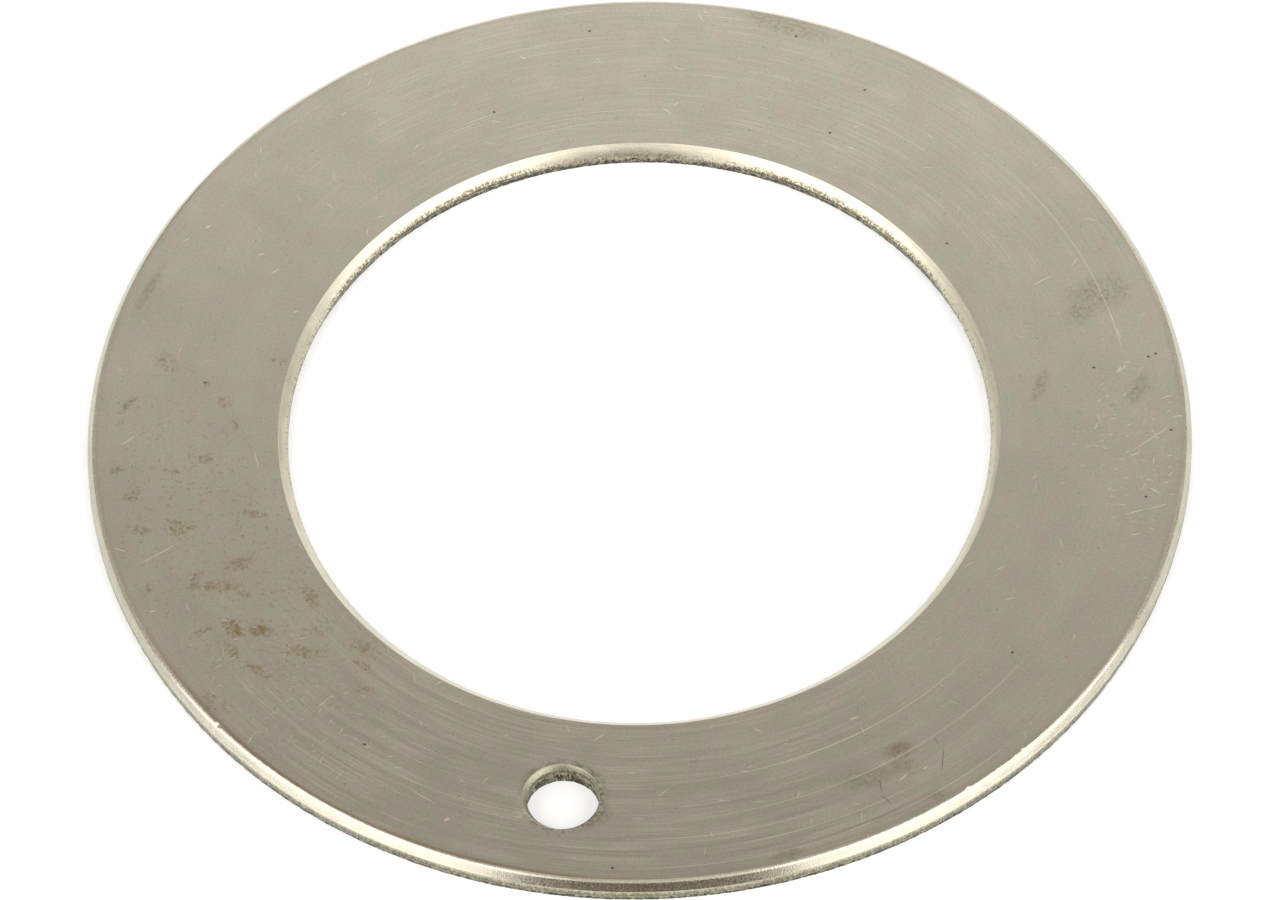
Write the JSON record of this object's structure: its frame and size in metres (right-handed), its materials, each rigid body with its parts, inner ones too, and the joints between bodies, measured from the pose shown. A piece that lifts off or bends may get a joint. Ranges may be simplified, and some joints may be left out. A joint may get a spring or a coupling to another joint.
{
  "type": "thrust washer",
  "caption": "Flat ring-shaped thrust washer of ground steel with a wide bore and one small fixing hole through its face.",
  "frame": {"origin": "on the ring's axis, in the lower face that the washer rests on", "axes": "+Z along the axis towards the face with the rolled-over edges, -Y through the fixing hole"},
  "size_m": [0.066, 0.066, 0.0015],
  "materials": {
    "ground_steel": "ground"
  },
  "bodies": {
    "root": {"thrust_washer": "ground_steel"}
  },
  "joints": []
}
